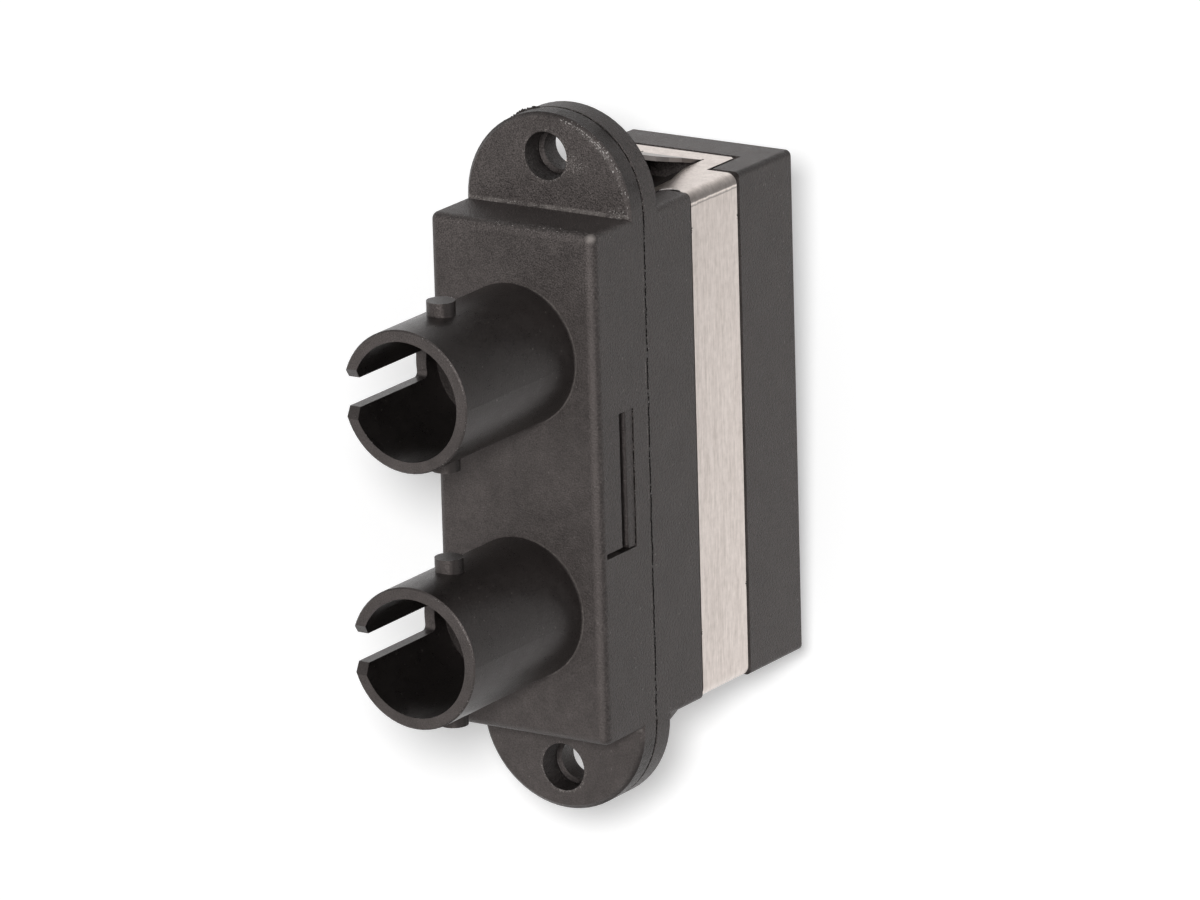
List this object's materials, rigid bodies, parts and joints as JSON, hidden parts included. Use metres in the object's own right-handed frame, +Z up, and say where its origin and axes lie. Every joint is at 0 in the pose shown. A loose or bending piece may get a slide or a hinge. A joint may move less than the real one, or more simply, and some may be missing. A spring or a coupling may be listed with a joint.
{
  "type": "fibre optic adapter",
  "caption": "Flanged duplex fibre adapter for a patch panel, with slotted round bayonet ports in front, square push-pull ports behind and a sheet-metal snap clip.",
  "frame": {"origin": "halfway between the two screw holes, on the rear face of the flange, which bears on the panel", "axes": "+Y through the panel towards the square ports, the round ports at -Y; +Z up along the flange; +X to the right as seen from the round ports"},
  "size_m": [0.0094, 0.0276, 0.035],
  "materials": {
    "housing": "fine moulded grain, charcoal black",
    "insert": "smooth moulded black",
    "clip": "brushed stainless sheet",
    "sleeve": "ground white zirconia"
  },
  "bodies": {
    "root": {"front_housing": "housing", "rear_housing": "housing", "panel_clip": "clip", "sc_latch_insert_upper": "insert", "sc_latch_insert_lower": "insert", "split_sleeve_upper": "sleeve", "split_sleeve_lower": "sleeve"}
  },
  "joints": []
}
